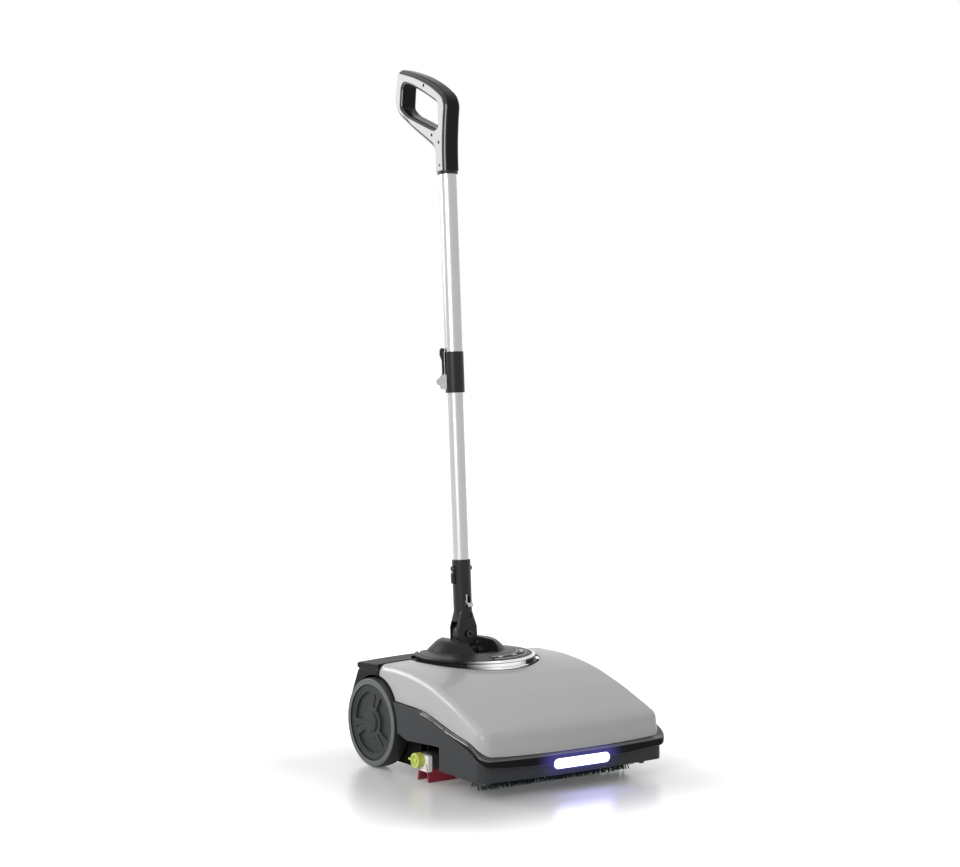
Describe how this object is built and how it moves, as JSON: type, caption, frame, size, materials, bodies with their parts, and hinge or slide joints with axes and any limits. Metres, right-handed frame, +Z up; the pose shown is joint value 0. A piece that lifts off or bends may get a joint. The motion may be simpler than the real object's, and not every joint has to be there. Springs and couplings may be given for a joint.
{
  "type": "floor scrubber",
  "caption": "Compact upright floor scrubber: wedge-shaped body with front light, roller brush, squeegee, side wheels, round control pod and a folding telescopic handle with a D grip.",
  "frame": {"origin": "on the floor, under the middle of the whole object's box", "axes": "+Z up, -Y towards the front with the light, X across the machine along the axle"},
  "size_m": [0.4, 0.5632, 1.2634],
  "materials": {
    "hood_grey": "gloss",
    "shell_dark": "matte",
    "strip_black": "gloss",
    "pod_black": "satin",
    "key_grey": "satin",
    "rim_silver": "polished",
    "lens_white": "gloss",
    "board_green": "satin",
    "tyre_grey": "matte",
    "hub_grey": "satin",
    "steel": "brushed",
    "tube_aluminium": "brushed",
    "handle_black": "satin",
    "screw_black": "matte",
    "inner_black": "matte",
    "motor_metal": "satin",
    "belt_rubber": "matte",
    "tank_plastic": "satin",
    "cap_blue": "satin",
    "bristle_teal": "matte",
    "blade_red": "matte",
    "end_white": "satin",
    "knob_lime": "satin"
  },
  "bodies": {
    "base": {"chassis": "shell_dark", "lower_shell": "shell_dark", "bumper_strip": "strip_black", "light_housing": "strip_black", "light_lens": "lens_white", "light_board": "board_green", "control_pod": "pod_black", "control_panel": "pod_black", "pod_rim": "rim_silver", "rear_cover": "shell_dark", "charge_inlet": "inner_black", "axle": "steel", "brush_bearings": "inner_black", "drive_belt": "belt_rubber", "brush_motor": "motor_metal", "vacuum_motor": "inner_black", "suction_pipes": "inner_black", "clean_tank": "tank_plastic", "tank_cap": "cap_blue", "recovery_tank": "tank_plastic", "water_pump": "inner_black", "water_tubes": "belt_rubber", "battery_pack": "inner_black", "control_board": "board_green", "pivot_bracket": "steel", "tilt_pin": "steel"},
    "hood_body": {"hood": "hood_grey"},
    "lid_body": {"rear_lid": "shell_dark"},
    "handle_yoke": {"knuckle": "handle_black"},
    "handle_lower": {"sleeve": "handle_black", "swivel_bolt": "steel", "sleeve_bolt": "steel", "lower_tube": "tube_aluminium"},
    "latch_body": {"swivel_latch": "steel"},
    "handle_upper": {"upper_tube": "tube_aluminium", "tube_clamp": "handle_black", "cam_bracket": "steel", "cam_pin": "steel", "grip_left": "handle_black", "grip_right": "handle_black", "grip_screws": "screw_black", "grip_collar": "handle_black"},
    "lever_body": {"clamp_lever": "handle_black"},
    "wheel_left": {"tyre_left": "tyre_grey", "wheel_hub_left": "hub_grey"},
    "wheel_right": {"tyre_right": "tyre_grey", "wheel_hub_right": "hub_grey"},
    "brush_body": {"brush_core": "inner_black", "brush_bristles": "bristle_teal", "brush_pulley": "inner_black"},
    "motor_pulley_body": {"motor_pulley": "inner_black"},
    "fan_body": {"vacuum_fan": "inner_black"},
    "squeegee_body": {"squeegee_bar": "inner_black", "squeegee_blades": "blade_red", "squeegee_ends": "end_white"},
    "knob_left_body": {"squeegee_knob_left": "knob_lime"},
    "knob_right_body": {"squeegee_knob_right": "knob_lime"},
    "button_power_body": {"button_power": "key_grey"},
    "button_brush_body": {"button_brush": "key_grey"},
    "button_suction_body": {"button_suction": "key_grey"}
  },
  "joints": [
    {"name": "hood_lift", "type": "slide", "parent": "base", "child": "hood_body", "axis": [0, 0, 1], "range_m": [0, 0.09]},
    {"name": "lid_hinge", "type": "hinge", "parent": "base", "child": "lid_body", "pos_m": [0, 0.15042, 0.166], "axis": [-1, 0, 0], "range_deg": [0, 100]},
    {"name": "handle_tilt", "type": "hinge", "parent": "base", "child": "handle_yoke", "pos_m": [0, 0.07392, 0.19], "axis": [1, 0, 0], "range_deg": [-55, 0]},
    {"name": "handle_swivel", "type": "hinge", "parent": "handle_yoke", "child": "handle_lower", "pos_m": [0, 0.07605, 0.22493], "axis": [0, 0.9981, -0.061], "range_deg": [-30, 30]},
    {"name": "latch_slide", "type": "slide", "parent": "handle_lower", "child": "latch_body", "axis": [0, 0.061, 0.9981], "range_m": [0, 0.008], "stiffness_N_per_m": 500, "springref_m": -0.004},
    {"name": "handle_telescope", "type": "slide", "parent": "handle_lower", "child": "handle_upper", "axis": [0, 0.061, 0.9981], "range_m": [-0.3, 0.04]},
    {"name": "clamp_lever_turn", "type": "hinge", "parent": "handle_upper", "child": "lever_body", "pos_m": [-0.02307, 0.11858, 0.68419], "axis": [-0.5299, -0.8465, 0.0518], "range_deg": [0, 110]},
    {"name": "wheel_left_spin", "type": "hinge", "parent": "base", "child": "wheel_left", "pos_m": [0, 0.08392, 0.08], "axis": [1, 0, 0], "continuous": true},
    {"name": "wheel_right_spin", "type": "hinge", "parent": "base", "child": "wheel_right", "pos_m": [0, 0.08392, 0.08], "axis": [1, 0, 0], "continuous": true},
    {"name": "brush_spin", "type": "hinge", "parent": "base", "child": "brush_body", "pos_m": [0, -0.19208, 0.046], "axis": [1, 0, 0], "continuous": true},
    {"name": "motor_spin", "type": "hinge", "parent": "base", "child": "motor_pulley_body", "pos_m": [0, -0.08008, 0.103], "axis": [1, 0, 0], "continuous": true},
    {"name": "fan_spin", "type": "hinge", "parent": "base", "child": "fan_body", "pos_m": [-0.096, 0.02392, 0.12], "axis": [0, 0, 1], "continuous": true},
    {"name": "squeegee_float", "type": "slide", "parent": "base", "child": "squeegee_body", "axis": [0, 0, 1], "range_m": [0, 0.008], "stiffness_N_per_m": 600, "springref_m": -0.01},
    {"name": "knob_left_turn", "type": "hinge", "parent": "squeegee_body", "child": "knob_left_body", "pos_m": [-0.187, -0.06608, 0.037], "axis": [-1, 0, 0], "range_deg": [0, 90]},
    {"name": "knob_right_turn", "type": "hinge", "parent": "squeegee_body", "child": "knob_right_body", "pos_m": [0.187, -0.06608, 0.037], "axis": [-1, 0, 0], "range_deg": [0, 90]},
    {"name": "button_power_press", "type": "slide", "parent": "base", "child": "button_power_body", "axis": [0.0043, 0.124, -0.9923], "range_m": [0, 0.0012], "stiffness_N_per_m": 400, "springref_m": -0.001},
    {"name": "button_brush_press", "type": "slide", "parent": "base", "child": "button_brush_body", "axis": [-0.0465, 0.115, -0.9923], "range_m": [0, 0.0012], "stiffness_N_per_m": 400, "springref_m": -0.001},
    {"name": "button_suction_press", "type": "slide", "parent": "base", "child": "button_suction_body", "axis": [-0.0892, 0.0862, -0.9923], "range_m": [0, 0.0012], "stiffness_N_per_m": 400, "springref_m": -0.001}
  ],
  "couplings": [
    {"joint": "motor_spin", "follows": "brush_spin", "ratio": 1.8333}
  ]
}
